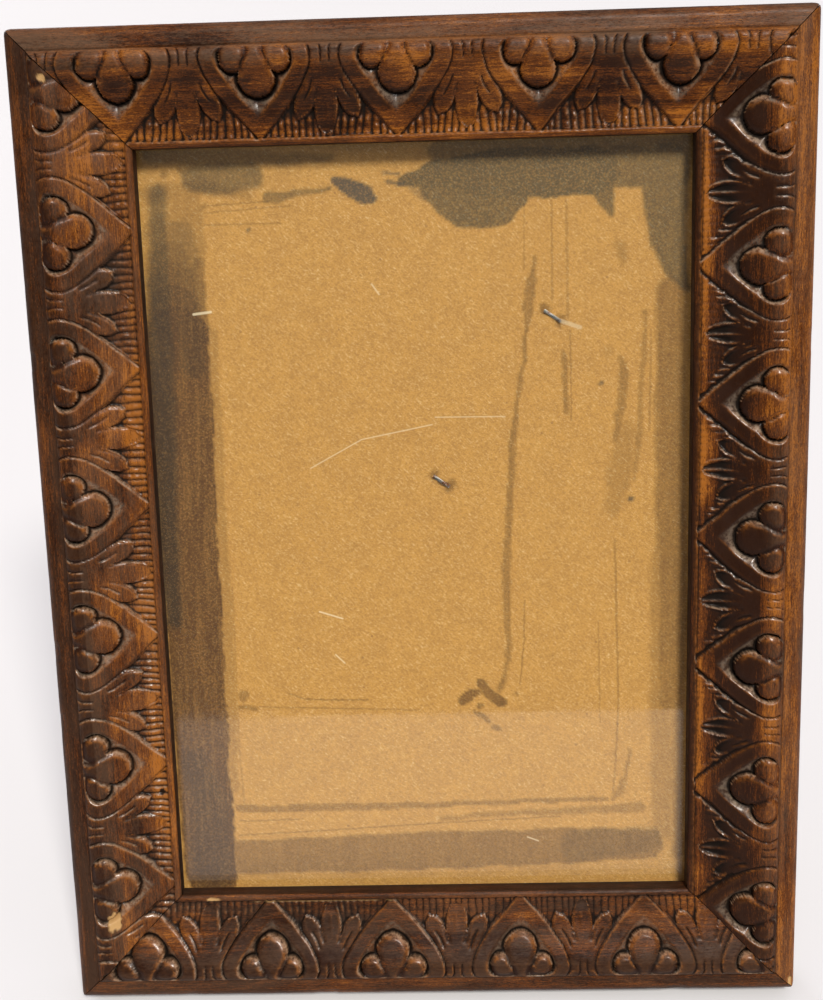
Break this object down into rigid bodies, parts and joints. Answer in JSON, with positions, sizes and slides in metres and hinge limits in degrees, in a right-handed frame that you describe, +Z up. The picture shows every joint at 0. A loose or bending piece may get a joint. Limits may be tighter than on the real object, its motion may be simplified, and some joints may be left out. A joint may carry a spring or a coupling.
{
  "type": "picture frame",
  "caption": "Small carved wooden picture frame, mitred at the corners, with glass, a backboard held by turn buttons and a folding diagonal strut that stands it upright or on its side.",
  "frame": {"origin": "on the floor, under the centre of the bounding box of the frame as it stands on its open strut", "axes": "+Z up, the glass faces -Y and leans back towards +Y, +X is to the right seen from the front"},
  "size_m": [0.1642, 0.088, 0.212],
  "materials": {
    "carved_walnut": "dark waxed walnut, worn on the high parts",
    "nail_steel": "dull dark iron",
    "picture_glass": "clear, dusty at its edges",
    "fibreboard": "unfinished golden hardboard, stained by damp",
    "button_brass": "dull yellow brass",
    "screw_brass": "dull yellow brass",
    "hinge_steel": "bright tinned steel",
    "pin_steel": "plain steel wire",
    "rivet_steel": "tinned steel",
    "leg_board": "brown hardboard"
  },
  "bodies": {
    "frame": {"top_rail": "carved_walnut", "bottom_rail": "carved_walnut", "left_stile": "carved_walnut", "right_stile": "carved_walnut", "corner_nails": "nail_steel", "glass_pane": "picture_glass", "backboard": "fibreboard", "button_screws": "screw_brass", "strut_plate": "hinge_steel", "hinge_pin": "pin_steel"},
    "strut": {"strut_leaf": "hinge_steel", "strut_rivets": "rivet_steel", "strut_leg": "leg_board"},
    "button_top": {"button_top": "button_brass"},
    "button_bottom": {"button_bottom": "button_brass"},
    "button_left": {"button_left": "button_brass"},
    "button_right": {"button_right": "button_brass"}
  },
  "joints": [
    {"name": "strut_fold", "type": "hinge", "parent": "frame", "child": "strut", "pos_m": [0.0008, -0.00421, 0.11032], "axis": [0.8217, -0.1282, -0.5553], "range_deg": [-30, 0]},
    {"name": "button_top_turn", "type": "hinge", "parent": "frame", "child": "button_top", "pos_m": [0, 0.01364, 0.19651], "axis": [0, 0.9744, -0.225], "continuous": true},
    {"name": "button_bottom_turn", "type": "hinge", "parent": "frame", "child": "button_bottom", "pos_m": [0, -0.02874, 0.01294], "axis": [0, 0.9744, -0.225], "continuous": true},
    {"name": "button_left_turn", "type": "hinge", "parent": "frame", "child": "button_left", "pos_m": [-0.0687, -0.00755, 0.10473], "axis": [0, 0.9744, -0.225], "continuous": true},
    {"name": "button_right_turn", "type": "hinge", "parent": "frame", "child": "button_right", "pos_m": [0.0687, -0.00755, 0.10473], "axis": [0, 0.9744, -0.225], "continuous": true}
  ]
}
